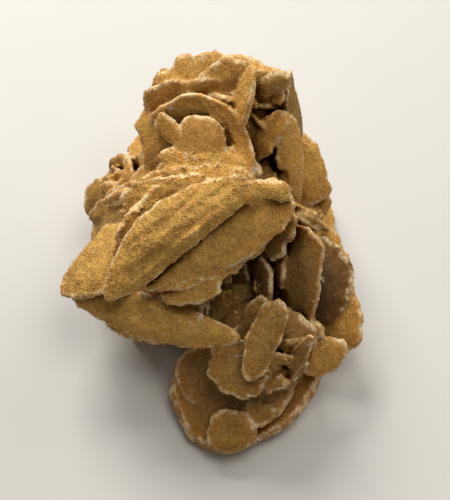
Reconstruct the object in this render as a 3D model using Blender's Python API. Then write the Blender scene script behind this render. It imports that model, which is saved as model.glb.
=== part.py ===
"""A gypsum sand rose: one intergrown cluster of lens-shaped crystal blades.

The cluster is about 100 mm long and stands on its own blades. +X is its right, +Y its back and +Z up, and
the origin is the middle of its foot. A blade is a flat lens with a blunt rim. It is placed by its centre and
by the way its open face looks. Two axes lie in the face: the first runs level, the second straight up the
slope. The length is turned from the first. The rim is an oval, some squarer, pointed, tapered or bent, with
shallow lobes. All blades, and the packed sand and crystal between them, are fused into one solid.
"""

import math
import random
from typing import NamedTuple

import bmesh
import bpy
from mathutils import Matrix, Vector

MM = 0.001
NODE = "sand_rose"

FOOT_CENTRE = (0.9, -12.3)   # x, y of the middle of the cluster, in the blades' own frame, mm
GROUND = 1.8                 # height at which the lowest blades are worn flat, mm

EDGE = 1.4           # thickness of a blade at its rim, mm
EDGE_SHARE = 0.6     # at most this share of the blade's own thickness
SHOULDER = 0.62      # where a blade starts to thin, as a share of the way from its middle to its rim
RIM_STEP = 5.8       # about the length of a rim's straight pieces, mm
FEWEST_CORNERS = 7   # of a rim
LOBE_HEIGHT = 0.05   # height of a rim's lobes, as a share of its radius
LOBE_COUNTS = (2, 3, 5, 8)
WELD = 0.0001        # seam points closer than this are one point, mm
FLAT_ANGLE = 5       # faces that meet at less than this are one face, degrees

GYPSUM_COLOUR = (0.50, 0.32, 0.15, 1.0)
GYPSUM_ROUGHNESS = 0.8


class Blade(NamedTuple):
    """One blade. Its outline is an oval with shallow lobes. Lengths are in mm and angles in degrees."""

    name: str
    centre: tuple         # x, y, z
    faces: tuple          # compass direction of the open face, from +X towards +Y, and its lift from level
    size: tuple           # length and width
    turn: float = 0.0     # of the length from the level, anticlockwise in the open face
    thick: float = 5.0
    square: float = 2.0   # 2 is an oval, more is squarer and less is more pointed
    taper: float = 0.0    # how much wider than the middle the far end is, as a share
    bend: float = 0.0     # how far both ends lie to the far side of the middle
    cup: float = 0.0      # how far the rim curls forward of the middle
    edge: float = EDGE    # thickness at the rim


class Lump(NamedTuple):
    """Packed crystal and sand, mostly hidden between the blades."""

    name: str
    centre: tuple
    radii: tuple


CROWN = (
    Blade("crown_back", (9, 25, 54), (272, 50), (27, 20), -18, 5, 2.8),
    Blade("crown_back_left", (-6, 26, 54), (252, 50), (21, 15), 52, 5, 2.4),
    Blade("crown_inner", (8, 25, 57), (272, 42), (19, 14), -5, 4),
    Blade("crown_ridge", (-5, 23, 51), (262, 20), (25, 17), 20, 4, 2.6),
    Blade("crown_arch", (0, 11, 58), (244, 40), (31, 14), -9, 3.5, 2.2, 0, -6, 6),
    Blade("crown_fin", (9, 18, 60), (185, 20), (22, 11), 118, 3, 2.2),
    Blade("crown_lap", (-2, 8, 54), (262, 58), (16, 14), 100, 3, 2.6),
    Blade("crown_lap_right", (6, 10, 52), (235, 48), (20, 9), -32, 3, 2.4),
    Blade("crown_tab", (-10, 12, 55), (235, 40), (11, 4), -15, 2, 2.6),
    Blade("crown_skirt", (-15, 16, 46), (212, 40), (14, 11), 5, 4, 2.4),
    Blade("crown_skirt_low", (-13, 12, 43), (250, 45), (13, 10), -30, 4, 2.4),
    Blade("crown_cup", (16, 20, 49), (262, 10), (19, 12), 100, 3, 2.2),
    Blade("crown_cup_floor", (16, 13, 52), (215, 50), (17, 8), 92, 3.5, 2.4),
    Blade("crown_wall_top", (17, 22, 63), (285, 35), (11, 6), 5, 3.5, 2.6),
    Blade("crown_wall", (22, 19, 49), (345, 15), (27, 8), 72, 3.5, 2.4, 0, -3),
    Blade("crown_spike", (18, 21, 59), (225, 25), (7, 4), 90, 2, 1.6),
    Blade("crown_long", (22, 9, 42), (320, 25), (33, 10), 72, 4, 2.2),
    Blade("crevice_chip", (18, 11, 42), (250, 30), (8, 6), 20, 2),
)

HEART = (
    Blade("heart_main", (-10, -17, 54), (258, 57), (47, 14), 50, 5, 2.1, 0.1, -3),
    Blade("heart_hollow", (-13, -12, 46), (304, 34), (29, 19), 20, 4, 2.6),
    Blade("heart_back_low", (-8, -6, 51), (270, 50), (31, 13), 8, 3.5, 2.2),
    Blade("heart_back_high", (-4, -2, 50), (268, 55), (32, 11), 3, 3.5, 2.2),
    Blade("heart_top", (0, 3, 51), (272, 62), (28, 12), -7, 4, 2.4),
    Blade("heart_layer_1", (-3, -18, 50), (255, 58), (33, 10), 52, 2.2, 2.2),
    Blade("heart_layer_2", (-4, -22, 47), (252, 60), (26, 10), 48, 2.2, 2.4),
    Blade("heart_layer_3", (4, -17, 49), (249, 63), (42, 14), 50, 3.4, 2.2),
    Blade("heart_layer_4", (-4, -26, 41), (238, 64), (17, 10), 35, 2.4, 2.4),
    Blade("heart_hood", (15, -8, 61), (285, 50), (17, 6), -12, 3, 2.2, 0, -3),
    Blade("heart_hood_right", (17, -7, 59), (300, 55), (9, 5), -60, 3),
    Blade("heart_side", (19, -11, 42), (205, 35), (16, 11), 110, 3),
    Blade("heart_core", (2, -15, 49), (280, 52), (36, 22), 20, 9),
)

WING = (
    Blade("wing_upper", (-28, -17, 34), (150, 71), (25, 17), 0, 6, 2.2, 0, -5),
    Blade("wing_lower", (-16, -31, 30), (251, 53), (49, 12), 1, 5, 1.8, 0, 1),
    Blade("wing_core", (-19, -22, 28), (240, 72), (38, 28), 10, 9),
    Blade("left_face", (-28, 8, 24), (225, 50), (16, 13), 60, 4, 2.4),
    Blade("left_low", (-28, 0, 26), (235, 40), (12, 11), 0, 4, 2.2),
    Blade("left_top", (-22, 16, 25), (262, 30), (12, 11), 20, 4, 2.4),
    Blade("left_bar", (-23, 11, 30), (185, 30), (12, 6), -8, 2, 2.4),
    Blade("left_chip", (-27, 9, 28), (265, 30), (6, 4), 0, 2),
)

RIGHT = (
    Blade("right_low", (27, 14, 32), (312, 48), (21, 13), 72, 4, 2.6, -0.25),
    Blade("right_under", (29, 8, 21), (300, 50), (12, 11), 0, 4, 2.4),
    Blade("petal_right", (24, -22, 32), (222, 35), (34, 14), 115, 4, 2.4, 0, 0, 1),
    Blade("petal_far_right", (34, -25, 18), (232, 52), (25, 15), 128, 4, 2.4, 0, 0, 1),
    Blade("petal_upper_right", (32, -11, 25), (300, 52), (27, 12), 97, 4, 2.6),
    Blade("petal_inner_front", (18, -18, 30), (200, 25), (16, 8), 112, 2.5, 2.2),
    Blade("petal_inner_back", (15, -21, 29), (200, 25), (15, 9), 125, 2.5, 2.2),
    Blade("right_core", (27, -17, 20), (240, 50), (30, 26), 20, 9),
)

FRONT = (
    Blade("tongue", (15, -39, 35), (262, 58), (22, 8), 75, 3, 2.4),
    Blade("tongue_left", (12, -33, 29), (240, 50), (16, 6), 96, 2.5, 2.2),
    Blade("lobe_front", (8, -44, 26), (258, 60), (19, 14), -20, 3.5, 2.4),
    Blade("finger_top", (22, -39, 31), (275, 20), (12, 5), 5, 2, 2.4),
    Blade("finger_middle", (19, -43, 30), (285, 35), (11, 5), -25, 2, 2.4),
    Blade("finger_low", (17, -45, 28), (290, 30), (12, 4), -45, 2, 2.2),
    Blade("finger_wedge", (18, -48, 26), (240, 50), (7, 5), 30, 2.5),
    Blade("fin_front", (24, -43, 31), (225, 30), (19, 4), 90, 2, 2),
    Blade("shell", (31, -39, 22), (285, 52), (13, 11), 0, 3.5, 2.2),
    Blade("shell_tip", (28, -33, 26), (260, 60), (7, 6), 0, 4),
    Blade("front_core", (17, -38, 24), (258, 52), (24, 22), 90, 9),
    Blade("slab", (9, -42, 9), (258, 76), (39, 34), 60, 9, 2.2, 0.1, 0, 0, 5),
    Blade("slab_upper", (8, -42, 15), (250, 68), (32, 24), 8, 4, 2.4),
    Blade("slab_lobe", (6, -57, 11), (262, 62), (13, 12), 0, 3.5, 2.4),
    Blade("slab_chip", (14, -52, 13), (270, 60), (8, 7), 0, 2.5),
    Blade("slab_under", (8, -40, 5), (262, 86), (32, 30), 0, 8),
)

BACK = (
    Blade("back_plate_1", (8, 26, 50), (72, 38), (28, 22)),
    Blade("back_plate_2", (-7, 25, 47), (128, 30), (22, 22)),
    Blade("back_plate_3", (17, 21, 44), (35, 28), (20, 26)),
    Blade("back_shelf_1", (5, 25, 38), (92, 44), (34, 26), 12),
    Blade("back_shelf_2", (-10, 24, 27), (122, 64), (34, 26)),
    Blade("back_shelf_3", (15, 24, 23), (62, 58), (34, 28)),
    Blade("back_shelf_4", (0, 25, 12), (95, 66), (44, 26), 0, 6),
    Blade("back_foot_left", (-19, 17, 8), (140, 62), (30, 24), 0, 6),
    Blade("back_foot_right", (20, 18, 7.5), (45, 62), (30, 24), 0, 6),
    Blade("back_fin_1", (-1, 22, 31), (174, 12), (30, 34), 0, 4),
    Blade("back_fin_2", (17, 21, 30), (20, 15), (28, 30), 10, 4),
    Blade("back_fin_3", (-15, 22, 18), (150, 22), (24, 20), 0, 4),
    Blade("back_fin_4", (8, 28, 17), (350, 12), (18, 20), 0, 4),
    Blade("back_fin_5", (-10, 26, 43), (205, 18), (20, 20), 0, 4),
)

SIDES = (
    Blade("right_foot_1", (27, 3, 7), (8, 64), (36, 24), 0, 6),
    Blade("right_foot_2", (27, -17, 8), (345, 62), (30, 24), 0, 6),
    Blade("right_shelf", (23, 10, 24), (20, 50), (26, 24)),
    Blade("right_fin_1", (24, 1, 28), (65, 20), (20, 24), 0, 4),
    Blade("right_fin_2", (28, -6, 16), (285, 15), (20, 18), 0, 4),
    Blade("left_foot_1", (-24, 4, 8), (185, 60), (32, 24), 0, 6),
    Blade("left_foot_2", (-17, -14, 9), (222, 60), (32, 24), 0, 6),
    Blade("left_shelf", (-20, -6, 20), (205, 55), (28, 22)),
    Blade("left_fin_1", (-21, 8, 25), (105, 18), (18, 24), 0, 4),
    Blade("left_fin_2", (-25, -6, 14), (275, 25), (18, 18), 0, 4),
    Blade("left_plate_1", (-15, 14, 34), (175, 28), (24, 22), 6),
    Blade("left_plate_2", (-16, 0, 34), (205, 38), (24, 22)),
    Blade("cave_back", (-3, -15, 26), (262, 30), (30, 22)),
    Blade("cave_cross", (-4, -21, 21), (200, 25), (14, 14), 80, 3),
)

LUMPS = (
    Lump("core_low", (3, -4, 15), (26, 28, 13)),
    Lump("core_mid", (5, 3, 31), (19, 16, 18)),
    Lump("core_top", (3, 19, 44), (14, 10, 14)),
    Lump("core_heart", (0, -9, 46), (14, 11, 10)),
    Lump("core_left", (-17, -4, 22), (15, 15, 12)),
    Lump("core_front", (14, -33, 15), (15, 16, 12)),
)


def face_frame(centre, faces):
    """Matrix from a face's own axes (level, upslope, out of the face) in mm to the cluster's frame."""
    heading, lift = (math.radians(angle) for angle in faces)
    out = Vector((math.cos(lift) * math.cos(heading), math.cos(lift) * math.sin(heading), math.sin(lift)))
    level = Vector((-math.sin(heading), math.cos(heading), 0))
    turn = Matrix((level, out.cross(level), out)).transposed().to_4x4()
    return Matrix.Translation(Vector(centre)) @ turn


def blade_rim(blade):
    """The outline in the blade's own face, with the same lobes every time for the same name."""
    half_long, half_wide = blade.size[0] / 2, blade.size[1] / 2
    draw = random.Random(blade.name)
    lobes = [(n, draw.uniform(0, math.tau)) for n in LOBE_COUNTS]
    count = max(FEWEST_CORNERS, round(math.pi * (half_long + half_wide) / RIM_STEP))
    turn = Matrix.Rotation(math.radians(blade.turn), 2)
    rim = []
    for i in range(count):
        angle = math.tau * i / count
        along, across = math.cos(angle), math.sin(angle)
        reach = (abs(along) ** blade.square + abs(across) ** blade.square) ** (-1 / blade.square)
        reach *= 1 + LOBE_HEIGHT * sum(math.sin(n * angle + phase) / math.sqrt(n) for n, phase in lobes)
        width = half_wide * (1 + blade.taper * along)
        bend = blade.bend * along ** 2
        rim.append(turn @ Vector((half_long * along * reach, width * across * reach + bend)))
    return rim


def lens(rim, thick, edge, cup):
    """A closed lens. Each side has a flat middle and a slope, with a blunt edge between. A cup has none."""
    bm = bmesh.new()
    middle = sum(rim, Vector((0, 0))) / len(rim)
    reach = max((point - middle).length for point in rim)

    def ring(share, height):
        made = []
        for point in rim:
            offset = (point - middle) * share
            curl = cup * ((offset.length / reach) ** 2 - 1)
            made.append(bm.verts.new((*(middle + offset), curl + height)))
        return made

    front_in, front_out = ring(SHOULDER, thick / 2), ring(1, edge / 2)
    back_in, back_out = ring(SHOULDER, -thick / 2), ring(1, -edge / 2)
    for i in range(len(rim)):
        j = (i + 1) % len(rim)
        bm.faces.new((front_in[i], front_out[i], front_out[j], front_in[j]))
        bm.faces.new((front_out[i], back_out[i], back_out[j], front_out[j]))
        bm.faces.new((back_out[i], back_in[i], back_in[j], back_out[j]))
    flats = [bm.faces.new(front_in), bm.faces.new(back_in)]
    if cup:
        bmesh.ops.poke(bm, faces=flats)
        bmesh.ops.triangulate(bm, faces=bm.faces[:])
    bmesh.ops.recalc_face_normals(bm, faces=bm.faces[:])
    return bm


def blade_mesh(blade):
    bm = lens(blade_rim(blade), blade.thick, min(blade.edge, EDGE_SHARE * blade.thick), blade.cup)
    bm.transform(face_frame(blade.centre, blade.faces))
    return bm


def lump_mesh(lump):
    bm = bmesh.new()
    bmesh.ops.create_icosphere(bm, subdivisions=2, radius=1)
    bm.transform(Matrix.Translation(Vector(lump.centre)) @ Matrix.Diagonal((*lump.radii, 1)))
    return bm


MAKERS = {Blade: blade_mesh, Lump: lump_mesh}


def piece_object(piece, collection):
    """One blade or lump as an object in mm, centred on the foot."""
    bm = MAKERS[type(piece)](piece)
    bm.transform(Matrix.Translation((-FOOT_CENTRE[0], -FOOT_CENTRE[1], -GROUND)))
    mesh = bpy.data.meshes.new(piece.name)
    bm.to_mesh(mesh)
    bm.free()
    obj = bpy.data.objects.new(piece.name, mesh)
    collection.objects.link(obj)
    return obj


def fuse(pieces):
    """One mesh: the union of all pieces, in mm."""
    growth = bpy.data.collections.new("growth")
    bpy.context.scene.collection.children.link(growth)
    cluster = piece_object(LUMPS[0], bpy.context.scene.collection)
    for piece in pieces:
        piece_object(piece, growth)
    union = cluster.modifiers.new("union", "BOOLEAN")
    union.operation = "UNION"
    union.operand_type = "COLLECTION"
    union.collection = growth
    union.solver = "EXACT"
    depsgraph = bpy.context.evaluated_depsgraph_get()
    fused = bpy.data.meshes.new_from_object(cluster.evaluated_get(depsgraph))
    for obj in [cluster, *growth.objects]:
        bpy.data.objects.remove(obj)
    bpy.data.collections.remove(growth)
    return fused


def shells(bm):
    """The separate closed skins of a mesh, as lists of faces."""
    left = set(bm.faces)
    found = []
    while left:
        seed = left.pop()
        shell = [seed]
        for face in shell:
            for edge in face.edges:
                for neighbour in edge.link_faces:
                    if neighbour in left:
                        left.remove(neighbour)
                        shell.append(neighbour)
        found.append(shell)
    return found


def keep_outer_skin(bm):
    """Drops the skins of closed pockets, which nothing outside can reach."""
    found = sorted(shells(bm), key=len)
    for shell in found[:-1]:
        bmesh.ops.delete(bm, geom=shell, context="FACES")


def wear_flat(bm):
    """Cuts the lowest blades off level, so the cluster stands on small flats."""
    bmesh.ops.bisect_plane(
        bm,
        geom=bm.verts[:] + bm.edges[:] + bm.faces[:],
        plane_co=(0, 0, 0),
        plane_no=(0, 0, 1),
        clear_inner=True,
    )
    open_edges = [edge for edge in bm.edges if edge.is_boundary]
    bmesh.ops.holes_fill(bm, edges=open_edges)


def gypsum():
    material = bpy.data.materials.new("gypsum")
    material.use_nodes = True
    shader = material.node_tree.nodes["Principled BSDF"]
    shader.inputs["Base Color"].default_value = GYPSUM_COLOUR
    shader.inputs["Roughness"].default_value = GYPSUM_ROUGHNESS
    shader.inputs["Metallic"].default_value = 0.0
    return material


def sand_rose():
    fused = fuse(LUMPS[1:] + CROWN + HEART + WING + RIGHT + FRONT + BACK + SIDES)
    bm = bmesh.new()
    bm.from_mesh(fused)
    bpy.data.meshes.remove(fused)
    keep_outer_skin(bm)
    wear_flat(bm)
    bmesh.ops.remove_doubles(bm, verts=bm.verts[:], dist=WELD)
    bmesh.ops.dissolve_limit(bm, angle_limit=math.radians(FLAT_ANGLE), verts=bm.verts[:], edges=bm.edges[:])
    bmesh.ops.triangulate(bm, faces=bm.faces[:])
    bmesh.ops.recalc_face_normals(bm, faces=bm.faces[:])
    bmesh.ops.scale(bm, vec=(MM, MM, MM), verts=bm.verts[:])
    mesh = bpy.data.meshes.new(NODE)
    bm.to_mesh(mesh)
    bm.free()
    mesh.materials.append(gypsum())
    rose = bpy.data.objects.new(NODE, mesh)
    bpy.context.scene.collection.objects.link(rose)
    return rose


for leftover in list(bpy.data.objects):
    bpy.data.objects.remove(leftover)
sand_rose()
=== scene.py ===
"""Dressed gypsum sand rose: the fused blades at full detail, with their sandy, honey-coloured gypsum.

Blades are placed as in the part's own source: in mm, by a centre and by the way their open face looks. Here each
one also has a scalloped rim, growth steps, a slight warp and a grain, and thin sheets lie on those at the back and
sides. All are fused into one skin, with loose sand on it as a second piece. Both get their colour from values
worked out on the skin: how far a spot is from its blade's rim, how deep it lies between the blades, and how sandy,
grey or amber its blade is. Painted shade darkens the colour where a spot lies deep between the blades, and makes
the blades deepest in the hollows nearly black. The amber near thin rims is partly the gypsum's own honey colour
and partly painted glow of light shining through it.
"""

import math
import random
from typing import NamedTuple

import bmesh
import bpy
import numpy as np
from mathutils import Matrix, Vector
from mathutils.bvhtree import BVHTree


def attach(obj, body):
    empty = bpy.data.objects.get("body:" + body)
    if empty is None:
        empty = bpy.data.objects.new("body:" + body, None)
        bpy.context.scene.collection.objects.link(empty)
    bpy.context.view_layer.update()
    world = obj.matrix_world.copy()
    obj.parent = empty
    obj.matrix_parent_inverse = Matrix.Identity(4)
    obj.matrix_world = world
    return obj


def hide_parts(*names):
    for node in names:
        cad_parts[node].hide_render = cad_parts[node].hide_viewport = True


MM = 0.001
NODE = "sand_rose"

FOOT_CENTRE = (0.9, -12.3)  # x, y of the middle of the cluster, in the blades' own frame, mm
GROUND = 1.8                # height at which the lowest blades are worn flat, mm

EDGE = 1.4             # thickness of a blade at its rim, mm
EDGE_SHARE = 0.6       # at most this share of the blade's own thickness
EDGE_ROUND = 0.3       # how far a rim bulges outwards, as a share of its thickness
LOBE_HEIGHT = 0.05     # height of a rim's lobes, as a share of its radius
LOBE_COUNTS = (2, 3, 5, 8)
RIM_STEP = 0.8         # length of a rim's pieces, mm
RING_STEP = 1.0        # distance between the rings of a face, mm
RIM_ZONE = 3.0         # width along the rim where the rings are closer, mm
RIM_RING_STEP = 0.5    # distance between the rings there, mm

SCALLOP_WIDTH = 3.4    # of a rim's scallops, mm
NICK_WIDTH = 1.5       # of the nicks on them, mm
SWAY_WIDTH = 8         # of the slow sway of a rim, mm
CHIP_WIDTH = 4.5       # of the broken-out chips, mm
SCALLOP_START = 0.5    # share of the way from the middle to the rim where a rim's scallops begin
SHOULDER = 0.55        # where a blade starts to thin, as a share of the way from its middle to its rim
SHOULDER_END = 1.04    # where it would have thinned to its edge, just past the rim
STEP_SHARES = (0.5, 0.68, 0.82, 0.93)  # where a face's growth steps lie
STEP_WANDER = 0.16     # how far they stray, as a share of the way to the rim
STEP_BEND = 6          # width of their bends, mm
STEP_WIDTH = 0.25      # half the width of a growth step's slope, mm
WARP_WIDTH = 13        # of a blade's warps, mm
FULL_SIZE = 12         # radius from which a blade has its full warp and grain, mm
FACE_GRAIN = (0.16, 2.4)  # height and width of the grain of a face, mm
LINE_STRETCH = 7       # how much longer than wide growth lines are
LINE_GAIN = 1.6        # height of their ridges, as a share of the finish's groove height
LUMP_GRAIN = (0.05, 7)    # height of a lump's bumps as a share of its radius, and their width in mm
LUMP_SINK = 0.02       # how much smaller the lumpy ball is drawn, as a share of its radius
LUMP_ROUNDS = 5        # subdivisions of its ball

SHEETS = ((1, 0.3, 0.78), (1, 0.45, 0.55), (-1, 0.25, 0.85))  # side of the blade, how far off its middle, size
SHEET_HEIGHT = (0.3, 0.42)  # middle of a sheet over the blade's own middle, as a share of the blade's thickness
SHEET_THICK = (1.3, 2.2)    # mm
SHEET_TILTS = (4, 3, 10)    # how far its heading, lift and turn stray from the blade's, degrees
SMALLEST_SHEET = 6.0        # mm

VOXEL = 0.42           # grid of the fused skin, mm
SMOOTH_ROUNDS = 1
SKIN_GRAIN = (0.10, 0.9)    # height and width of the skin's grain, mm
SANDY_GRAIN = (0.13, 1.7)   # the same for the grain that is added where a blade is sandy
MOST_TRIANGLES = 194000
REACH = 14.0           # how far the skin looks for neighbours that shade it, mm
RAYS = 14
RAY_START = 0.3        # distance from the skin at which a ray starts, mm

GRAINS = 20000         # loose sand on the skin
GRAIN_SIZE = (0.25, 0.6)    # mm
GRAIN_STRAY = 0.25     # how far a grain lies from the skin's corner it belongs to, mm
SAND_PATCH = 7         # width of the patches where sand lies thicker, mm
OCTAHEDRON = np.array([(1, 0, 0), (-1, 0, 0), (0, 1, 0), (0, -1, 0), (0, 0, 1), (0, 0, -1)])
OCTAHEDRON_FACES = ((0, 2, 4), (2, 1, 4), (1, 3, 4), (3, 0, 4), (2, 0, 5), (1, 2, 5), (3, 1, 5), (0, 3, 5))


class Blade(NamedTuple):
    """One blade. Its outline is an oval with shallow lobes. Lengths are in mm and angles in degrees."""

    name: str
    centre: tuple         # x, y, z
    faces: tuple          # compass direction of the open face, from +X towards +Y, and its lift from level
    size: tuple           # length and width
    turn: float = 0.0     # of the length from the level, anticlockwise in the open face
    thick: float = 5.0
    square: float = 2.0   # 2 is an oval, more is squarer and less is more pointed
    taper: float = 0.0    # how much wider than the middle the far end is, as a share
    bend: float = 0.0     # how far both ends lie to the far side of the middle
    cup: float = 0.0      # how far the rim curls forward of the middle
    edge: float = EDGE    # thickness at the rim


class Lump(NamedTuple):
    """Packed crystal and sand between the blades."""

    name: str
    centre: tuple
    radii: tuple


class Druse(NamedTuple):
    """A patch of small crystals that grew on the blades near its centre."""

    name: str
    centre: tuple
    spread: tuple
    count: int
    size: tuple     # shortest and longest crystal, mm


class Finish(NamedTuple):
    """How a blade's skin looks."""

    grey: float = 0.2     # from golden (0) over grey-brown (1), the blade's own tone; above 1 it is painted shade, up to nearly black (2), for blades deep in the hollows
    amber: float = 0.3    # how amber its thin parts are: partly their own honey colour, partly painted glow of light shining through them
    sand: float = 0.5     # how much sand is stuck to it
    scallop: float = 1.3  # depth of the rim's scallops, mm
    warp: float = 1.0     # how far it bends, mm
    steps: float = 0.6    # how much of its slope is growth steps
    groove: tuple = ()    # direction of growth lines in the face, degrees, their spacing and height, mm


CROWN = (
    Blade("crown_back", (9, 25, 54), (272, 50), (27, 20), -18, 5, 2.8),
    Blade("crown_back_left", (-6, 26, 54), (252, 50), (21, 15), 52, 5, 2.4),
    Blade("crown_inner", (8, 25, 57), (272, 42), (19, 14), -5, 4),
    Blade("crown_ridge", (-5, 23, 51), (262, 20), (25, 17), 20, 4, 2.6),
    Blade("crown_arch", (0, 11, 58), (244, 40), (31, 14), -9, 3.5, 2.2, 0, -6, 6),
    Blade("crown_fin", (9, 18, 60), (185, 20), (22, 11), 118, 3, 2.2),
    Blade("crown_lap", (-2, 8, 54), (262, 58), (16, 14), 100, 3, 2.6),
    Blade("crown_lap_right", (6, 10, 52), (235, 48), (20, 9), -32, 3, 2.4),
    Blade("crown_tab", (-10, 12, 55), (235, 40), (11, 4), -15, 2, 2.6),
    Blade("crown_skirt", (-15, 16, 46), (212, 40), (14, 11), 5, 4, 2.4),
    Blade("crown_skirt_low", (-13, 12, 43), (250, 45), (13, 10), -30, 4, 2.4),
    Blade("crown_cup", (16, 20, 49), (262, 10), (19, 12), 100, 3, 2.2),
    Blade("crown_cup_floor", (16, 13, 52), (215, 50), (17, 8), 92, 3.5, 2.4),
    Blade("crown_wall_top", (17, 22, 63), (285, 35), (11, 6), 5, 3.5, 2.6),
    Blade("crown_wall", (22, 19, 49), (345, 15), (27, 8), 72, 3.5, 2.4, 0, -3),
    Blade("crown_spike", (18, 21, 59), (225, 25), (7, 4), 90, 2, 1.6),
    Blade("crown_long", (22, 9, 42), (320, 25), (33, 10), 72, 4, 2.2),
    Blade("crevice_chip", (18, 11, 42), (250, 30), (8, 6), 20, 2),
)

HEART = (
    Blade("heart_main", (-10, -17, 54), (258, 57), (47, 14), 50, 5, 2.1, 0.1, -3),
    Blade("heart_hollow", (-13, -12, 46), (304, 34), (29, 19), 20, 4, 2.6),
    Blade("heart_back_low", (-8, -6, 51), (270, 50), (31, 13), 8, 3.5, 2.2),
    Blade("heart_back_high", (-4, -2, 50), (268, 55), (32, 11), 3, 3.5, 2.2),
    Blade("heart_top", (0, 3, 51), (272, 62), (28, 12), -7, 4, 2.4),
    Blade("heart_layer_1", (-3, -18, 50), (255, 58), (33, 10), 52, 2.2, 2.2),
    Blade("heart_layer_2", (-4, -22, 47), (252, 60), (26, 10), 48, 2.2, 2.4),
    Blade("heart_layer_3", (4, -17, 49), (249, 63), (42, 14), 50, 3.4, 2.2),
    Blade("heart_layer_4", (-4, -26, 41), (238, 64), (17, 10), 35, 2.4, 2.4),
    Blade("heart_hood", (15, -8, 61), (285, 50), (17, 6), -12, 3, 2.2, 0, -3),
    Blade("heart_hood_right", (17, -7, 59), (300, 55), (9, 5), -60, 3),
    Blade("heart_side", (19, -11, 42), (205, 35), (16, 11), 110, 3),
    Blade("heart_core", (2, -15, 49), (280, 52), (36, 22), 20, 9),
)

WING = (
    Blade("wing_upper", (-28, -17, 34), (150, 71), (25, 17), 0, 6, 2.2, 0, -5),
    Blade("wing_lower", (-16, -31, 30), (251, 53), (49, 12), 1, 5, 1.8, 0, 1),
    Blade("wing_core", (-19, -22, 28), (240, 72), (38, 28), 10, 9),
    Blade("left_face", (-28, 8, 24), (225, 50), (16, 13), 60, 4, 2.4),
    Blade("left_low", (-28, 0, 26), (235, 40), (12, 11), 0, 4, 2.2),
    Blade("left_top", (-22, 16, 25), (262, 30), (12, 11), 20, 4, 2.4),
    Blade("left_bar", (-23, 11, 30), (185, 30), (12, 6), -8, 2, 2.4),
    Blade("left_chip", (-27, 9, 28), (265, 30), (6, 4), 0, 2),
)

RIGHT = (
    Blade("right_low", (27, 14, 32), (312, 48), (21, 13), 72, 4, 2.6, -0.25),
    Blade("right_under", (29, 8, 21), (300, 50), (12, 11), 0, 4, 2.4),
    Blade("petal_right", (24, -22, 32), (222, 35), (34, 14), 115, 4, 2.4, 0, 0, 1),
    Blade("petal_far_right", (34, -25, 18), (232, 52), (25, 15), 128, 4, 2.4, 0, 0, 1),
    Blade("petal_upper_right", (32, -11, 25), (300, 52), (27, 12), 97, 4, 2.6),
    Blade("petal_inner_front", (18, -18, 30), (200, 25), (16, 8), 112, 2.5, 2.2),
    Blade("petal_inner_back", (15, -21, 29), (200, 25), (15, 9), 125, 2.5, 2.2),
    Blade("right_core", (27, -17, 20), (240, 50), (30, 26), 20, 9),
)

FRONT = (
    Blade("tongue", (15, -39, 35), (262, 58), (22, 8), 75, 3, 2.4),
    Blade("tongue_left", (12, -33, 29), (240, 50), (16, 6), 96, 2.5, 2.2),
    Blade("lobe_front", (8, -44, 26), (258, 60), (19, 14), -20, 3.5, 2.4),
    Blade("finger_top", (22, -39, 31), (275, 20), (12, 5), 5, 2, 2.4),
    Blade("finger_middle", (19, -43, 30), (285, 35), (11, 5), -25, 2, 2.4),
    Blade("finger_low", (17, -45, 28), (290, 30), (12, 4), -45, 2, 2.2),
    Blade("finger_wedge", (18, -48, 26), (240, 50), (7, 5), 30, 2.5),
    Blade("fin_front", (24, -43, 31), (225, 30), (19, 4), 90, 2, 2),
    Blade("shell", (31, -39, 22), (285, 52), (13, 11), 0, 3.5, 2.2),
    Blade("shell_tip", (28, -33, 26), (260, 60), (7, 6), 0, 4),
    Blade("front_core", (17, -38, 24), (258, 52), (24, 22), 90, 9),
    Blade("slab", (9, -42, 9), (258, 76), (39, 34), 60, 9, 2.2, 0.1, 0, 0, 5),
    Blade("slab_upper", (8, -42, 15), (250, 68), (32, 24), 8, 4, 2.4),
    Blade("slab_lobe", (6, -57, 11), (262, 62), (13, 12), 0, 3.5, 2.4),
    Blade("slab_chip", (14, -52, 13), (270, 60), (8, 7), 0, 2.5),
    Blade("slab_under", (8, -40, 5), (262, 86), (32, 30), 0, 8),
)

BACK = (
    Blade("back_plate_1", (8, 26, 50), (72, 38), (28, 22)),
    Blade("back_plate_2", (-7, 25, 47), (128, 30), (22, 22)),
    Blade("back_plate_3", (17, 21, 44), (35, 28), (20, 26)),
    Blade("back_shelf_1", (5, 25, 38), (92, 44), (34, 26), 12),
    Blade("back_shelf_2", (-10, 24, 27), (122, 64), (34, 26)),
    Blade("back_shelf_3", (15, 24, 23), (62, 58), (34, 28)),
    Blade("back_shelf_4", (0, 25, 12), (95, 66), (44, 26), 0, 6),
    Blade("back_foot_left", (-19, 17, 8), (140, 62), (30, 24), 0, 6),
    Blade("back_foot_right", (20, 18, 7.5), (45, 62), (30, 24), 0, 6),
    Blade("back_fin_1", (-1, 22, 31), (174, 12), (30, 34), 0, 4),
    Blade("back_fin_2", (17, 21, 30), (20, 15), (28, 30), 10, 4),
    Blade("back_fin_3", (-15, 22, 18), (150, 22), (24, 20), 0, 4),
    Blade("back_fin_4", (8, 28, 17), (350, 12), (18, 20), 0, 4),
    Blade("back_fin_5", (-10, 26, 43), (205, 18), (20, 20), 0, 4),
)

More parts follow.
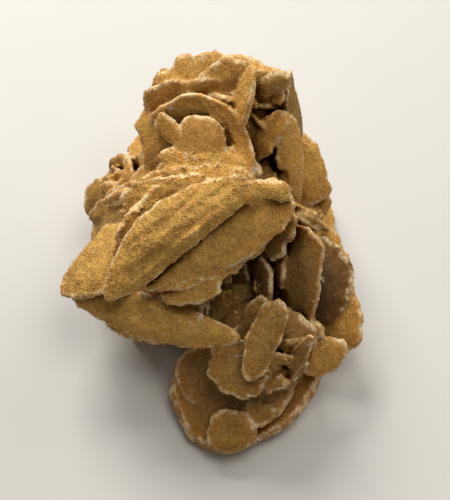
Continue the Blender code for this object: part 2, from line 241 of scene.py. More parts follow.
SIDES = (
    Blade("right_foot_1", (27, 3, 7), (8, 64), (36, 24), 0, 6),
    Blade("right_foot_2", (27, -17, 8), (345, 62), (30, 24), 0, 6),
    Blade("right_shelf", (23, 10, 24), (20, 50), (26, 24)),
    Blade("right_fin_1", (24, 1, 28), (65, 20), (20, 24), 0, 4),
    Blade("right_fin_2", (28, -6, 16), (285, 15), (20, 18), 0, 4),
    Blade("left_foot_1", (-24, 4, 8), (185, 60), (32, 24), 0, 6),
    Blade("left_foot_2", (-17, -14, 9), (222, 60), (32, 24), 0, 6),
    Blade("left_shelf", (-20, -6, 20), (205, 55), (28, 22)),
    Blade("left_fin_1", (-21, 8, 25), (105, 18), (18, 24), 0, 4),
    Blade("left_fin_2", (-25, -6, 14), (275, 25), (18, 18), 0, 4),
    Blade("left_plate_1", (-15, 14, 34), (175, 28), (24, 22), 6),
    Blade("left_plate_2", (-16, 0, 34), (205, 38), (24, 22)),
    Blade("cave_back", (-3, -15, 26), (262, 30), (30, 22)),
    Blade("cave_cross", (-4, -21, 21), (200, 25), (14, 14), 80, 3),
)

LUMPS = (
    Lump("core_low", (3, -4, 15), (26, 28, 13)),
    Lump("core_mid", (5, 3, 31), (19, 16, 18)),
    Lump("core_top", (3, 19, 44), (14, 10, 14)),
    Lump("core_heart", (0, -9, 46), (14, 11, 10)),
    Lump("core_left", (-17, -4, 22), (15, 15, 12)),
    Lump("core_front", (14, -33, 15), (15, 16, 12)),
)

DRUSES = (
    Druse("hollow", (-20, -12, 49), (5, 6, 6), 70, (0.8, 2.2)),
    Druse("heart_top", (-2, 0, 53), (13, 6, 4), 110, (0.7, 1.8)),
    Druse("lap", (6, 10, 54), (5, 6, 4), 60, (0.7, 1.6)),
    Druse("crown_crevice", (5, 19, 56), (8, 4, 4), 50, (0.7, 1.6)),
    Druse("cup_crevice", (16, 10, 44), (5, 5, 6), 45, (0.8, 2.4)),
    Druse("left_back", (-25, 11, 28), (5, 6, 4), 40, (0.9, 2.8)),
    Druse("cave", (4, -22, 27), (12, 7, 7), 90, (0.8, 2.4)),
    Druse("front", (18, -43, 26), (9, 7, 5), 60, (0.7, 2.0)),
    Druse("back", (2, 27, 26), (22, 12, 20), 160, (0.9, 2.6)),
    Druse("left", (-24, 4, 20), (8, 18, 14), 90, (0.9, 2.4)),
    Druse("right", (26, 2, 20), (8, 20, 14), 90, (0.9, 2.4)),
)

GROUP_FINISH = {
    CROWN: Finish(0.25, 0.45, 0.45),
    HEART: Finish(0.35, 0.35, 0.8),
    WING: Finish(0.4, 0.35, 0.75),
    RIGHT: Finish(0.4, 0.75, 0.4),
    FRONT: Finish(0.85, 0.45, 0.3),
    BACK: Finish(0.3, 0.4, 0.5),
    SIDES: Finish(0.35, 0.45, 0.5),
    # grey 1.2 on the lumps is a little painted shade between the blades
    LUMPS: Finish(1.2, 0.3, 0.6),
}

BLADE_FINISH = {
    "crown_back": Finish(0.3, 0.4, 0.6, 1.0, 1.0, 0.5),
    "crown_arch": Finish(0.2, 0.6, 0.3, 0.5, 0.6, 0.2),
    "crown_lap": Finish(0.45, 0.3, 0.2, 0.3, 0.4, 0.1),
    "crown_wall": Finish(0.8, 0.2, 0.3),
    "crown_wall_top": Finish(0.8, 0.2, 0.4, 0.9),
    "crown_fin": Finish(0.0, 0.2, 0.5, 0.6, 0.5),
    "crown_ridge": Finish(0.45, 0.4, 0.4),
    "crown_inner": Finish(0.6, 0.5, 0.4),
    "crown_back_left": Finish(0.4, 0.4, 0.5),
    "heart_main": Finish(0.4, 0.2, 0.9, 1.0, 1.2, 0.6, (50, 2.6, 1.0)),
    "heart_hollow": Finish(0.1, 0.8, 0.6, 0.8, 0.8, 0.5, (48, 2.2, 0.6)),
    "heart_layer_3": Finish(0.25, 0.5, 0.45, 1.1, 0.8, 0.4, (50, 3.0, 0.5)),
    "wing_lower": Finish(0.35, 0.4, 0.7, 1.0, 1.4, 0.4),
    "wing_upper": Finish(0.5, 0.3, 1.0, 0.7, 1.2, 0.5),
    # grey above 1 on these blades is painted shade: they lie deep in the cave, in the crevices and under other
    # blades
    "heart_side": Finish(1.3, 0.3, 0.3),
    "cave_back": Finish(2.0, 0.2, 0.05),
    "cave_cross": Finish(1.9, 0.2, 0.05),
    "petal_inner_front": Finish(1.5, 0.5, 0.2),
    "petal_inner_back": Finish(1.7, 0.4, 0.1),
    "petal_right": Finish(1.15, 0.9, 0.2, 1.2, 0.8, 0.3),
    "right_core": Finish(1.7, 0.4, 0.1),
    "front_core": Finish(1.4, 0.4, 0.2),
    "crevice_chip": Finish(1.2, 0.4, 0.4),
    "tongue": Finish(0.85, 0.4, 0.3, 1.7, 1.0, 0.5),
    "tongue_left": Finish(0.9, 0.4, 0.3, 1.5, 0.8),
    "lobe_front": Finish(0.8, 0.5, 0.4, 1.8, 1.0, 0.5),
    "left_face": Finish(0.75, 0.2, 0.4),
    "left_low": Finish(0.8, 0.2, 0.5),
    "left_top": Finish(0.6, 0.3, 0.4),
    "right_low": Finish(0.3, 0.4, 0.5, 1.5, 0.8, 0.4),
    "right_under": Finish(0.6, 0.4, 0.3),
    "petal_upper_right": Finish(0.2, 0.3, 0.7),
    "shell": Finish(0.4, 0.5, 0.2, 0.6, 0.4, 0.2, (100, 1.3, 0.3)),
    "slab": Finish(0.9, 1.0, 0.1, 0.7, 0.6, 0.3),
    "slab_upper": Finish(1.0, 0.5, 0.3, 1.0, 1.0, 0.6),
    "slab_lobe": Finish(0.8, 0.6, 0.3, 0.5, 0.8, 0.2),
}

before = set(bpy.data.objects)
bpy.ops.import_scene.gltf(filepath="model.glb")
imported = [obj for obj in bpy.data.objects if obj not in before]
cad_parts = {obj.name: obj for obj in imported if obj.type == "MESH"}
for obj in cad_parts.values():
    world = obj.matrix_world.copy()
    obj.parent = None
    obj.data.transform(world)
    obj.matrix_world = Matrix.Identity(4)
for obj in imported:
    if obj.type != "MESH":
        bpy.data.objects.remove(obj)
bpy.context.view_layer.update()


# Noise ----------------------------------------------------------------------------------------------------------

def lattice(i, j, k, seed):
    """A random value from -1 to 1 for each whole-number point, the same every time."""
    mixed = (i * 374761393 + j * 668265263 + k * 1440662683 + seed * 974634777) & 0xFFFFFFFF
    mixed = ((mixed ^ (mixed >> 13)) * 1274126177) & 0xFFFFFFFF
    return (mixed ^ (mixed >> 16)) / 0x7FFFFFFF - 1


def noise(points, size, seed):
    """Smooth noise from -1 to 1 at points of shape (n, 3), with bumps about as wide as size."""
    scaled = points / size
    low = np.floor(scaled).astype(np.int64)
    part = scaled - low
    ease = part * part * (3 - 2 * part)
    total = np.zeros(len(points))
    for corner in range(8):
        step = np.array([corner & 1, corner >> 1 & 1, corner >> 2])
        weight = np.where(step, ease, 1 - ease).prod(axis=1)
        total += weight * lattice(*(low + step).T, seed)
    return total


def rough(points, size, seed, octaves=3):
    """Noise with finer noise on it."""
    return sum(noise(points, size / 2 ** k, seed + k) / 2 ** k for k in range(octaves))


def smoothstep(low, high, value):
    t = np.clip((value - low) / (high - low), 0, 1)
    return t * t * (3 - 2 * t)


# Blades ---------------------------------------------------------------------------------------------------------

def face_frame(centre, faces):
    """Matrix from a face's own axes (level, upslope, out of the face) in mm to the cluster's frame."""
    heading, lift = (math.radians(angle) for angle in faces)
    out = Vector((math.cos(lift) * math.cos(heading), math.cos(lift) * math.sin(heading), math.sin(lift)))
    level = Vector((-math.sin(heading), math.cos(heading), 0))
    turn = Matrix((level, out.cross(level), out)).transposed().to_4x4()
    return Matrix.Translation(Vector(centre)) @ turn


def blade_rim(blade):
    """The outline in the blade's own face, with the same lobes every time for the same name."""
    half_long, half_wide = blade.size[0] / 2, blade.size[1] / 2
    draw = random.Random(blade.name)
    lobes = [(n, draw.uniform(0, math.tau)) for n in LOBE_COUNTS]
    angle = np.linspace(0, math.tau, round(math.pi * (half_long + half_wide) / RIM_STEP), endpoint=False)
    along, across = np.cos(angle), np.sin(angle)
    reach = (np.abs(along) ** blade.square + np.abs(across) ** blade.square) ** (-1 / blade.square)
    reach *= 1 + LOBE_HEIGHT * sum(np.sin(n * angle + phase) / math.sqrt(n) for n, phase in lobes)
    x = half_long * along * reach
    y = half_wide * (1 + blade.taper * along) * across * reach + blade.bend * along ** 2
    turn = math.radians(blade.turn)
    return np.stack([x * math.cos(turn) - y * math.sin(turn), x * math.sin(turn) + y * math.cos(turn)], axis=1)


def ring_shares(reach):
    """Shares of the way from a face's middle to its rim, closer together near the rim."""
    shares = [0.0]
    while shares[-1] < 1:
        left = (1 - shares[-1]) * reach
        shares.append(shares[-1] + (RING_STEP if left > RIM_ZONE else RIM_RING_STEP) / reach)
    return np.array(shares[1:-1] + [1.0])


def lens(rim, thick, edge, cup, finish, seed, middle):
    """Points and faces of a closed blade in its own axes, and each face's distance from the rim, all in mm."""
    reach = float(np.linalg.norm(rim - middle, axis=1).max())
    shares = ring_shares(reach)
    count = len(rim)
    offset = np.array([0, 0, seed * 7.3])

    def spread(flat):
        return np.concatenate([flat, np.zeros((len(flat), 1))], axis=1) + offset

    rim_points = spread(rim)
    scallop = np.abs(noise(rim_points, SCALLOP_WIDTH, seed))
    scallop = scallop + 0.4 * np.abs(noise(rim_points, NICK_WIDTH, seed + 1)) - 0.5
    chips = smoothstep(0.3, 0.6, noise(rim_points, CHIP_WIDTH, seed + 7))
    scallop = finish.scallop * (scallop + 0.8 * noise(rim_points, SWAY_WIDTH, seed + 2) - 0.9 * chips)
    away = rim - middle
    length = np.linalg.norm(away, axis=1, keepdims=True)
    points = [[], []]
    for share in [0.0, *shares]:
        grown = scallop[:, None] * smoothstep(SCALLOP_START, 1, share) * away / length
        flat = middle + away * share + grown
        if share == 0:
            flat = middle[None, :]
        at = spread(flat)
        local_share = np.full(len(flat), share)
        slope = 1 - smoothstep(SHOULDER, SHOULDER_END, local_share) / smoothstep(SHOULDER, SHOULDER_END, 1.0)
        wander = STEP_WANDER * rough(at, STEP_BEND, seed + 3, 2)
        width = STEP_WIDTH / reach
        stairs = sum(1 - smoothstep(s - width, s + width, local_share + wander) for s in STEP_SHARES)
        stairs = stairs / len(STEP_SHARES)
        body = (1 - finish.steps) * slope + finish.steps * stairs
        size = min(1.0, reach / FULL_SIZE)
        bend = finish.warp * size * rough(at, WARP_WIDTH, seed + 4, 2)
        radius = np.linalg.norm(flat - middle, axis=1)
        curl = cup * ((radius / reach) ** 2 - 1)
        grooves = 0
        if finish.groove:
            heading, spacing, height = finish.groove
            heading = math.radians(heading)
            along = at[:, 0] * math.cos(heading) + at[:, 1] * math.sin(heading)
            across = -at[:, 0] * math.sin(heading) + at[:, 1] * math.cos(heading)
            stretched = np.stack([along / LINE_STRETCH, across, np.full(len(at), seed)], axis=1)
            ridges = 0.5 - np.abs(rough(stretched, spacing, seed + 5, 2))
            grooves = LINE_GAIN * height * ridges * (1 - local_share ** 4)
        half = edge / 2 + (thick - edge) / 2 * body
        for side, sign in enumerate((1, -1)):
            grain = FACE_GRAIN[0] * size * rough(at, FACE_GRAIN[1], seed + 6 + side, 2)
            height = sign * (half + grain * (1 - 0.5 * local_share)) + bend + curl
            if sign > 0:
                height = height + grooves
            points[side].append(np.concatenate([flat, height[:, None]], axis=1))
    bulge = rim + (scallop[:, None] + EDGE_ROUND * edge) * away / length
    rim_height = (points[0][-1][:, 2] + points[1][-1][:, 2]) / 2
    points = [*points[0], np.concatenate([bulge, rim_height[:, None]], axis=1), *points[1][::-1]]
    faces = []
    depths = []
    starts = np.cumsum([0] + [len(ring) for ring in points])
    ring_share = [0.0, *shares, 1.0, *shares[::-1], 0.0]
    around = np.arange(count)
    after = (around + 1) % count
    for k in range(len(points) - 1):
        low, high = starts[k], starts[k + 1]
        depth = (1 - (ring_share[k] + ring_share[k + 1]) / 2) * reach
        if len(points[k]) == 1:
            made = [(low, high + i, high + j) for i, j in zip(around, after)]
        elif len(points[k + 1]) == 1:
            made = [(low + i, high, low + j) for i, j in zip(around, after)]
        else:
            made = [(low + i, high + i, high + j, low + j) for i, j in zip(around, after)]
        faces += made
        depths += [depth] * len(made)
    return np.concatenate(points), faces, depths


def ball(radii, seed):
    """Points and faces of a lumpy ball, and a depth for each face that keeps rim colours off it."""
    bm = bmesh.new()
    bmesh.ops.create_icosphere(bm, subdivisions=LUMP_ROUNDS, radius=1)
    points = np.array([v.co for v in bm.verts]) * np.array(radii)
    faces = [tuple(v.index for v in face.verts) for face in bm.faces]
    bm.free()
    points = points * (1 + LUMP_GRAIN[0] * rough(points, LUMP_GRAIN[1], seed, 3) - LUMP_SINK)[:, None]
    return points, faces, [REACH] * len(faces)


def place(points, matrix):
    turned = points @ np.array(matrix.to_3x3()).T + np.array(matrix.translation)
    return turned - np.array([*FOOT_CENTRE, GROUND])


def blade_shape(piece, finish, seed):
    """One blade or lump: points in the cluster's frame, faces, and each face's distance from the rim."""
    if isinstance(piece, Lump):
        points, faces, depths = ball(piece.radii, seed)
        return place(points, Matrix.Translation(Vector(piece.centre))), faces, depths
    rim = blade_rim(piece)
    edge = min(piece.edge, EDGE_SHARE * piece.thick)
    points, faces, depths = lens(rim, piece.thick, edge, piece.cup, finish, seed, rim.mean(axis=0))
    return place(points, face_frame(piece.centre, piece.faces)), faces, depths


def sheets(blade):
    """Thin blades that lie on both sides of a larger one, each a little off its middle."""
    draw = random.Random(blade.name + " sheets")
    level, slope, out = face_frame(blade.centre, blade.faces).to_3x3().col
    long, wide = blade.size
    heading, lift, turn = SHEET_TILTS
    made = []
    for side, reach, share in SHEETS:
        if min(long, wide) * share < SMALLEST_SHEET:
            continue
        aim = draw.uniform(0, math.tau)
        slide = draw.uniform(0.5, 1) * reach
        middle = Vector(blade.centre) + out * side * blade.thick * draw.uniform(*SHEET_HEIGHT)
        middle += level * math.cos(aim) * slide * long / 2 + slope * math.sin(aim) * slide * wide / 2
        made.append(blade._replace(
            name=f"{blade.name} sheet {len(made)}",
            centre=tuple(middle),
            faces=(blade.faces[0] + draw.uniform(-heading, heading), blade.faces[1] + draw.uniform(-lift, lift)),
            size=(long * share * draw.uniform(0.9, 1.1), wide * share * draw.uniform(0.9, 1.1)),
            turn=blade.turn + draw.uniform(-turn, turn),
            thick=draw.uniform(*SHEET_THICK),
            edge=EDGE,
        ))
    return made


class Growth:
    """All blades in one list of points and faces, with what each face needs for its colour."""

    def __init__(self):
        self.points, self.faces, self.depths, self.finishes, self.owner = [], [], [], [], []
        self.count = 0

    def add(self, points, faces, depths, finish):
        self.points.append(points)
        self.faces += [tuple(int(i) + self.count for i in face) for face in faces]
        self.depths += depths
        self.owner += [len(self.finishes)] * len(faces)
        self.finishes.append(finish)
        self.count += len(points)

    def all_points(self):
        points = np.concatenate(self.points)
        points[:, 2] = np.maximum(points[:, 2], 0)
        return points

    def tree(self):
        return BVHTree.FromPolygons(self.all_points().tolist(), self.faces)


def grow():
    growth = Growth()
    seed = 1
    for group, usual in GROUP_FINISH.items():
        for piece in group:
            finish = BLADE_FINISH.get(piece.name, usual)
            thin = sheets(piece) if group in (BACK, SIDES) else []
            for shape in (piece, *thin):
                growth.add(*blade_shape(shape, finish, seed), finish)
                seed += 10
    return growth


def crystal(draw, length):
    """A small tabular crystal about the origin: a bevelled plate with six sides."""
    wide, thin = length * draw.uniform(0.45, 0.8), length * draw.uniform(0.18, 0.35)
    corners = []
    sides = 6
    for level, share in ((-1, 0.75), (0, 1), (1, 0.75)):
        for i in range(sides):
            angle = math.tau * i / sides
            x, y = length / 2 * share * math.cos(angle), wide / 2 * share * math.sin(angle)
            corners.append((x, y, thin / 2 * level))
    faces = [tuple(range(sides))[::-1], tuple(range(2 * sides, 3 * sides))]
    for low in (0, sides):
        high = low + sides
        for i in range(sides):
            j = (i + 1) % sides
            faces.append((low + i, low + j, high + j, high + i))
    return np.array(corners), faces


def strew(growth):
    """Adds the druses: crystals with their feet in the nearest blade."""
    tree = growth.tree()
    for druse in DRUSES:
        draw = random.Random(druse.name)
        finish = Finish(0.3, 0.35, 0.8)
        for _ in range(druse.count):
            spot = Vector([c + draw.gauss(0, 0.5) * s for c, s in zip(druse.centre, druse.spread)])
            spot -= Vector((*FOOT_CENTRE, GROUND))
            foot, normal, _, _ = tree.find_nearest(spot)
            if foot is None or foot.z < 1:
                continue
            length = draw.uniform(*druse.size)
            lean = Vector([draw.gauss(0, 0.6) for _ in range(3)])
            turn = (normal + lean).to_track_quat("X", "Z").to_matrix().to_4x4()
            spin = Matrix.Rotation(draw.uniform(0, math.tau), 4, "X")
            points, faces = crystal(draw, length)
            matrix = Matrix.Translation(foot + normal * length * 0.15) @ turn @ spin
            points = points @ np.array(matrix.to_3x3()).T + np.array(matrix.translation)
            growth.add(points, faces, [1.0] * len(faces), finish)


# Skin -----------------------------------------------------------------------------------------------------------

def as_mesh(name, points, faces):
    mesh = bpy.data.meshes.new(name)
    mesh.from_pydata(points.tolist(), [], faces)
    mesh.update()
    return mesh


def mesh_points(mesh):
    flat = np.empty(len(mesh.vertices) * 3, np.float32)
    mesh.vertices.foreach_get("co", flat)
    return flat.reshape(-1, 3).astype(float)


def mesh_normals(mesh):
    flat = np.empty(len(mesh.vertices) * 3, np.float32)
    mesh.vertex_normals.foreach_get("vector", flat)
    return flat.reshape(-1, 3).astype(float)


def applied(obj):
    """The object's mesh with its modifiers applied. The object then holds it and has no modifiers."""
    depsgraph = bpy.context.evaluated_depsgraph_get()
    mesh = bpy.data.meshes.new_from_object(obj.evaluated_get(depsgraph))
    old = obj.data
    obj.modifiers.clear()
    obj.data = mesh
    bpy.data.meshes.remove(old)
    return mesh


def nearest(growth, tree, points):
    """For each point, the finish and the distance from the rim of the nearest blade face."""
    depths = np.array(growth.depths)
    owner = np.array(growth.owner)
    found = np.array([tree.find_nearest(Vector(p))[2] for p in points])
    return owner[found], depths[found]


def trait(growth, owners, name):
    return np.array([getattr(finish, name) for finish in growth.finishes])[owners]


def openness(points, normals, tree):
    """How much of the sky over each point is clear of close blades, from 0 to 1."""
    draw = random.Random(5)
    fan = [Vector([draw.gauss(0, 1) for _ in range(3)]).normalized() for _ in range(RAYS)]
    clear = np.zeros(len(points))
    for index, (point, normal) in enumerate(zip(points, normals)):
        point, normal = Vector(point), Vector(normal)
        start = point + normal * RAY_START
        total = 0.0
        for v in fan:
            way = (normal * 1.05 + v).normalized()
            hit = tree.ray_cast(start, way, REACH)[3]
            total += 1.0 if hit is None else hit / REACH
        clear[index] = total / RAYS
    return clear


def store(mesh, name, values):
    attribute = mesh.attributes.new(name, "FLOAT", "POINT")
    attribute.data.foreach_set("value", values.astype(np.float32))


def make_sand(points, normals, clear, sandiness, greyness):
    """Loose sand: a small octahedron for each grain, sunk a little into the skin."""
    draw = np.random.default_rng(11)
    chance = sandiness * (0.2 + clear) * (0.15 + smoothstep(-0.3, 0.5, rough(points, SAND_PATCH, 950, 2)))
    chosen = draw.choice(len(points), GRAINS, p=chance / chance.sum())
    half = draw.uniform(*GRAIN_SIZE, GRAINS) / 2
    aside = draw.normal(0, GRAIN_STRAY, (GRAINS, 3))
    aside -= normals[chosen] * (aside * normals[chosen]).sum(axis=1, keepdims=True)
    middle = points[chosen] + aside + normals[chosen] * half[:, None] * 0.4
    axes = np.linalg.qr(draw.normal(size=(GRAINS, 3, 3)))[0]
    axes *= np.linalg.det(axes)[:, None, None]
    corners = OCTAHEDRON * half[:, None, None] * draw.uniform(0.6, 1, (GRAINS, 1, 3))
    corners = (corners @ axes + middle[:, None, :]).reshape(-1, 3)
    corners[:, 2] = np.maximum(corners[:, 2], 0)
    first = np.arange(GRAINS)[:, None, None] * len(OCTAHEDRON)
    faces = (first + np.array(OCTAHEDRON_FACES)).reshape(-1, 3)
    mesh = as_mesh("loose_sand", corners * MM, faces.tolist())
    each = np.repeat(chosen, len(OCTAHEDRON))
    store(mesh, "open", clear[each])
    store(mesh, "grey", greyness[each])
    store(mesh, "tone", np.repeat(draw.uniform(0, 1, GRAINS), len(OCTAHEDRON)))
    sand = bpy.data.objects.new("loose_sand", mesh)
    bpy.context.scene.collection.objects.link(sand)
    return sand


def make_rose():
    growth = grow()
    strew(growth)
    tree = growth.tree()
    rose = bpy.data.objects.new("desert_rose", as_mesh("desert_rose", growth.all_points(), growth.faces))
    bpy.context.scene.collection.objects.link(rose)
    remesh = rose.modifiers.new("fuse", "REMESH")
    remesh.mode = "VOXEL"
    remesh.voxel_size = VOXEL
    smooth = rose.modifiers.new("smooth", "SMOOTH")
    smooth.iterations = SMOOTH_ROUNDS
    mesh = applied(rose)
    points, normals = mesh_points(mesh), mesh_normals(mesh)
    owners, _ = nearest(growth, tree, points)
    sand = trait(growth, owners, "sand")
    grain = SKIN_GRAIN[0] * noise(points, SKIN_GRAIN[1], 901)
    grain = grain + SANDY_GRAIN[0] * sand * rough(points, SANDY_GRAIN[1], 905, 2)
    points += normals * grain[:, None]
    points[:, 2] = np.maximum(points[:, 2], 0)
    mesh.vertices.foreach_set("co", points.astype(np.float32).ravel())
    mesh.update()
    mesh.calc_loop_triangles()
    thin = rose.modifiers.new("thin", "DECIMATE")
    thin.ratio = min(1, MOST_TRIANGLES / len(mesh.loop_triangles))
    mesh = applied(rose)
    points, normals = mesh_points(mesh), mesh_normals(mesh)
    points[:, 2] = np.maximum(points[:, 2], 0)
    mesh.vertices.foreach_set("co", points.astype(np.float32).ravel())
    owners, depth = nearest(growth, tree, points)
    final = BVHTree.FromPolygons(points.tolist(), [tuple(p.vertices) for p in mesh.polygons])
    store(mesh, "depth", depth)
    clear = openness(points, normals, final)
    store(mesh, "open", clear)
    for name in ("grey", "amber", "sand"):
        store(mesh, name, trait(growth, owners, name))
    sand = make_sand(points, normals, clear, trait(growth, owners, "sand"), trait(growth, owners, "grey"))
    mesh.transform(Matrix.Diagonal((MM, MM, MM, 1)))
    mesh.shade_smooth()
    return rose, sand


# Look -----------------------------------------------------------------------------------------------------------

class Nodes:
    """Short calls for one material's nodes."""

    def __init__(self, material):
        material.use_nodes = True
        self.tree = material.node_tree
        self.shader = self.tree.nodes["Principled BSDF"]

    def add(self, kind, **settings):
        node = self.tree.nodes.new("ShaderNode" + kind)
        for name, value in settings.items():
            setattr(node, name, value)
        return node

    def link(self, source, target):
        if hasattr(source, "is_output"):
            self.tree.links.new(source, target)
        else:
            target.default_value = source

    def attribute(self, name):
        return self.add("Attribute", attribute_name=name).outputs["Fac"]

    def math(self, operation, *values, clamp=False):
        node = self.add("Math", operation=operation, use_clamp=clamp)
        for value, socket in zip(values, node.inputs):
            self.link(value, socket)
        return node.outputs[0]

    def ramp(self, value, low, high, out_low=0.0, out_high=1.0):
        node = self.add("MapRange", interpolation_type="SMOOTHSTEP")
        for name, given in zip(("Value", "From Min", "From Max", "To Min", "To Max"),
                               (value, low, high, out_low, out_high)):
            self.link(given, node.inputs[name])
        return node.outputs["Result"]

    def mix(self, share, first, second, blend="MIX"):
        node = self.add("Mix", data_type="RGBA", blend_type=blend)
        self.link(share, node.inputs["Factor"])
        self.link(first, node.inputs[6])
        self.link(second, node.inputs[7])
        return node.outputs[2]

    def noise(self, where, size, detail=3.0, roughness=0.55):
        node = self.add("TexNoise")
        self.link(where, node.inputs["Vector"])
        node.inputs["Scale"].default_value = 1 / size
        node.inputs["Detail"].default_value = detail
        node.inputs["Roughness"].default_value = roughness
        return node.outputs["Fac"]

    def cells(self, where, size, output="Distance"):
        node = self.add("TexVoronoi")
        self.link(where, node.inputs["Vector"])
        node.inputs["Scale"].default_value = 1 / size
        return node.outputs[output]


GOLDEN = (0.60, 0.315, 0.065, 1)
GREY_BROWN = (0.25, 0.13, 0.03, 1)
# amber of thin gypsum, partly its own colour and partly painted glow of light shining through it
AMBER_AND_GLOW = (0.45, 0.165, 0.012, 1)
PALE = (0.74, 0.56, 0.31, 1)
SAND = (0.66, 0.40, 0.085, 1)
CHALK = (0.80, 0.74, 0.64, 1)
# painted shade, nearly black, for the hollows and the blades deepest in them
DEEP_PAINTED_SHADE = (0.045, 0.018, 0.003, 1)
HOLLOW_PAINTED_SHADE = (0.10, 0.04, 0.004, 1)   # painted shade: what is left of the colour in the deepest hollows
WHITE = (1, 1, 1, 1)
TABLE_COLOURS = ((0.56, 0.545, 0.515, 1), (0.585, 0.567, 0.532, 1))
DAYLIGHT = (1, 0.985, 0.95)
LAMPLIGHT = (1, 0.97, 0.92)
ROOM_LIGHT = (1, 0.975, 0.94, 1)

TABLE_SIZE = 2.4         # m
TABLE_PATCH = 0.12       # width of the table's faint changes of tone, m
BROAD_PATCH = 0.009      # width of the slow changes from golden to grey, m
BLOTCH = 0.0028          # of the patches of sand and wear, m
SCUFF = 0.008            # of the pale scuffs, m
SPECK = 0.0007           # of the finest mottling, m
SUGAR_GRAIN = 0.00055    # of one crystal of the sugary crust, m
CRUST = 0.0012           # of the crust's bumps, m
CRUST_HEIGHT = 0.00035   # m
SUGAR_HEIGHT = 0.00018   # m
GYPSUM_IOR = 1.52
GLOW = 0.2               # share of the light that scatters under the skin
GLOW_DEPTH = 0.0016      # m
GLOW_SPREAD = (1.0, 0.42, 0.14)   # how far red, green and blue go, as shares of the depth


def paint_shade_in_hollows(n, colour, clear):
    """Painted shade: the colour, much darker and browner where little sky is seen."""
    tint = n.mix(n.ramp(clear, 0.25, 0.95), HOLLOW_PAINTED_SHADE, WHITE)
    return n.mix(1.0, colour, tint, "MULTIPLY")


def gypsum():
    material = bpy.data.materials.new("gypsum")
    n = Nodes(material)
    where = n.add("TexCoord").outputs["Object"]
    depth, clear = n.attribute("depth"), n.attribute("open")
    grey, amber, sand = n.attribute("grey"), n.attribute("amber"), n.attribute("sand")
    broad = n.noise(where, BROAD_PATCH)
    blotch = n.noise(where, BLOTCH)
    speck = n.noise(where, SPECK, 2.0, 0.7)
    scuffs = n.noise(where, SCUFF, 4.0, 0.75)
    grain_tone = n.add("SeparateColor")
    n.link(n.cells(where, SUGAR_GRAIN, "Color"), grain_tone.inputs[0])

    greyness = n.math("ADD", grey, n.math("MULTIPLY", broad, 0.5))
    colour = n.mix(n.ramp(greyness, 0.2, 1.2), GOLDEN, GREY_BROWN)
    # grey above 1 is painted shade: it blends towards nearly black
    colour = n.mix(n.ramp(grey, 1.0, 2.0, 0.0, 0.9), colour, DEEP_PAINTED_SHADE)
    # amber near thin rims, stronger where less sky is seen: partly the gypsum's own honey colour, partly painted
    # glow of light shining through the thin rims
    thin_part = n.ramp(depth, 0.5, 6.0, 1.0, 0.0)
    amber_and_backlit_glow = n.math("MULTIPLY", n.math("MULTIPLY", amber, n.ramp(clear, 0.35, 0.8, 1.0, 0.6)), thin_part)
    colour = n.mix(amber_and_backlit_glow, colour, AMBER_AND_GLOW)
    sandy = n.math("MULTIPLY", sand, n.ramp(blotch, 0.35, 0.7))
    sandy = n.math("MULTIPLY", sandy, n.ramp(grey, 0.9, 1.5, 0.6, 0.1))
    colour = n.mix(sandy, colour, SAND)
    # painted shade: nearly black where little sky is seen
    colour = n.mix(n.ramp(clear, 0.5, 0.1, 0.0, 0.85), colour, DEEP_PAINTED_SHADE)
    # paler in patches along the rims where they are open to the sky
    pale_rim = n.math("MULTIPLY", n.ramp(depth, 0.2, 1.5, 1.0, 0.0), n.ramp(clear, 0.4, 0.8))
    pale_rim = n.math("MULTIPLY", pale_rim, n.ramp(blotch, 0.4, 0.65, 0.1, 0.9))
    colour = n.mix(pale_rim, colour, PALE)
    scuffed = n.math("MULTIPLY", n.ramp(scuffs, 0.63, 0.72), n.ramp(clear, 0.5, 0.8))
    colour = n.mix(n.math("MULTIPLY", scuffed, 0.6), colour, CHALK)
    mottle = n.math("ADD", n.math("MULTIPLY", speck, 0.6), n.math("MULTIPLY", grain_tone.outputs[0], 0.4))
    colour = n.mix(1.0, colour, n.ramp(mottle, 0.25, 0.75, 0.82, 1.22), "MULTIPLY")
    # painted shade in the hollows between the blades
    n.link(paint_shade_in_hollows(n, colour, clear), n.shader.inputs["Base Color"])
    n.link(n.ramp(speck, 0.3, 0.8, 0.85, 0.5), n.shader.inputs["Roughness"])
    n.shader.inputs["IOR"].default_value = GYPSUM_IOR
    n.link(n.ramp(clear, 0.4, 0.9, 0.0, 0.3), n.shader.inputs["Specular IOR Level"])
    n.shader.inputs["Subsurface Weight"].default_value = GLOW
    n.shader.inputs["Subsurface Radius"].default_value = GLOW_SPREAD
    n.shader.inputs["Subsurface Scale"].default_value = GLOW_DEPTH

    coarse = n.add("Bump")
    coarse.inputs["Distance"].default_value = CRUST_HEIGHT
    n.link(n.ramp(sand, 0.0, 1.0, 0.35, 0.9), coarse.inputs["Strength"])
    n.link(n.noise(where, CRUST, 3.0, 0.65), coarse.inputs["Height"])
    fine = n.add("Bump")
    fine.inputs["Distance"].default_value = SUGAR_HEIGHT
    n.link(n.ramp(sand, 0.0, 1.0, 0.3, 0.9), fine.inputs["Strength"])
    n.link(n.cells(where, SUGAR_GRAIN), fine.inputs["Height"])
    n.link(coarse.outputs[0], fine.inputs["Normal"])
    n.link(fine.outputs[0], n.shader.inputs["Normal"])
    return material


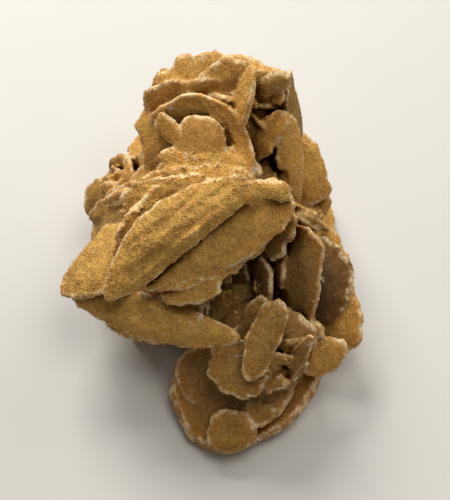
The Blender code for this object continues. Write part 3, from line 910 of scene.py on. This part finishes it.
def loose_sand():
    material = bpy.data.materials.new("loose_sand")
    n = Nodes(material)
    tone, clear, grey = n.attribute("tone"), n.attribute("open"), n.attribute("grey")
    colour = n.mix(n.ramp(tone, 0.0, 0.6), GOLDEN, SAND)
    colour = n.mix(n.ramp(tone, 0.6, 1.0), colour, PALE)
    colour = n.mix(n.ramp(grey, 0.3, 1.2, 0.0, 0.75), colour, GREY_BROWN)
    # painted shade on the sand in the hollows
    n.link(paint_shade_in_hollows(n, colour, clear), n.shader.inputs["Base Color"])
    n.link(n.ramp(tone, 0.0, 1.0, 0.6, 0.35), n.shader.inputs["Roughness"])
    n.link(n.ramp(clear, 0.4, 0.9, 0.0, 0.5), n.shader.inputs["Specular IOR Level"])
    return material


def floor():
    outline = np.array([(-1, -1, 0), (1, -1, 0), (1, 1, 0), (-1, 1, 0)]) * TABLE_SIZE / 2
    mesh = as_mesh("floor", outline, [(0, 1, 2, 3)])
    obj = bpy.data.objects.new("floor", mesh)
    bpy.context.scene.collection.objects.link(obj)
    material = bpy.data.materials.new("table")
    n = Nodes(material)
    where = n.add("TexCoord").outputs["Object"]
    colour = n.mix(n.ramp(n.noise(where, TABLE_PATCH), 0.3, 0.7), *TABLE_COLOURS)
    n.link(colour, n.shader.inputs["Base Color"])
    n.shader.inputs["Roughness"].default_value = 0.55
    obj.data.materials.append(material)


LIT_POINT = (0, 0, 0.03)   # where the lamps point, m


def lamp(name, place_at, size, watts, colour):
    light = bpy.data.lights.new(name, "AREA")
    light.size = size
    light.energy = watts
    light.color = colour
    obj = bpy.data.objects.new(name, light)
    obj.location = place_at
    obj.rotation_mode = "QUATERNION"
    obj.rotation_quaternion = (Vector(place_at) - Vector(LIT_POINT)).to_track_quat("Z", "Y")
    bpy.context.scene.collection.objects.link(obj)


def lights():
    lamp("window", (-0.22, 0.65, 0.66), 0.4, 9.3, DAYLIGHT)
    lamp("side window", (0.42, 0.45, 0.5), 0.4, 1.6, DAYLIGHT)
    lamp("ceiling", (0.2, 0.05, 0.9), 0.45, 2.8, LAMPLIGHT)
    world = bpy.data.worlds.new("room")
    bpy.context.scene.world = world
    world.use_nodes = True
    background = world.node_tree.nodes["Background"]
    background.inputs["Color"].default_value = ROOM_LIGHT
    background.inputs["Strength"].default_value = 0.17


CAMERA_LIFT = math.radians(65)        # height of the camera over the table, seen from the rose
CAMERA_DISTANCE = 0.4                 # m
CAMERA_TARGET = (0.0035, 0.0003, 0.0302)
VIEW_HEIGHT = 0.1368                  # of the picture at the target, m
SENSOR = 36                           # along the picture's longer side, which is its height, mm


def camera():
    data = bpy.data.cameras.new("camera")
    data.sensor_width = SENSOR
    data.lens = SENSOR * CAMERA_DISTANCE / VIEW_HEIGHT
    data.clip_start = 0.01
    obj = bpy.data.objects.new("camera", data)
    back = Vector((0, -math.cos(CAMERA_LIFT), math.sin(CAMERA_LIFT)))
    obj.location = Vector(CAMERA_TARGET) + back * CAMERA_DISTANCE
    obj.rotation_mode = "QUATERNION"
    obj.rotation_quaternion = back.to_track_quat("Z", "Y")
    bpy.context.scene.collection.objects.link(obj)
    bpy.context.scene.camera = obj


bpy.context.scene.view_settings.view_transform = "Standard"
rose, sand = make_rose()
for piece, material in ((rose, gypsum()), (sand, loose_sand())):
    piece.data.materials.append(material)
    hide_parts(NODE)
    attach(piece, "root")
floor()
lights()
camera()


def corners(box):
    return [[float(value) for value in corner] for corner in box]
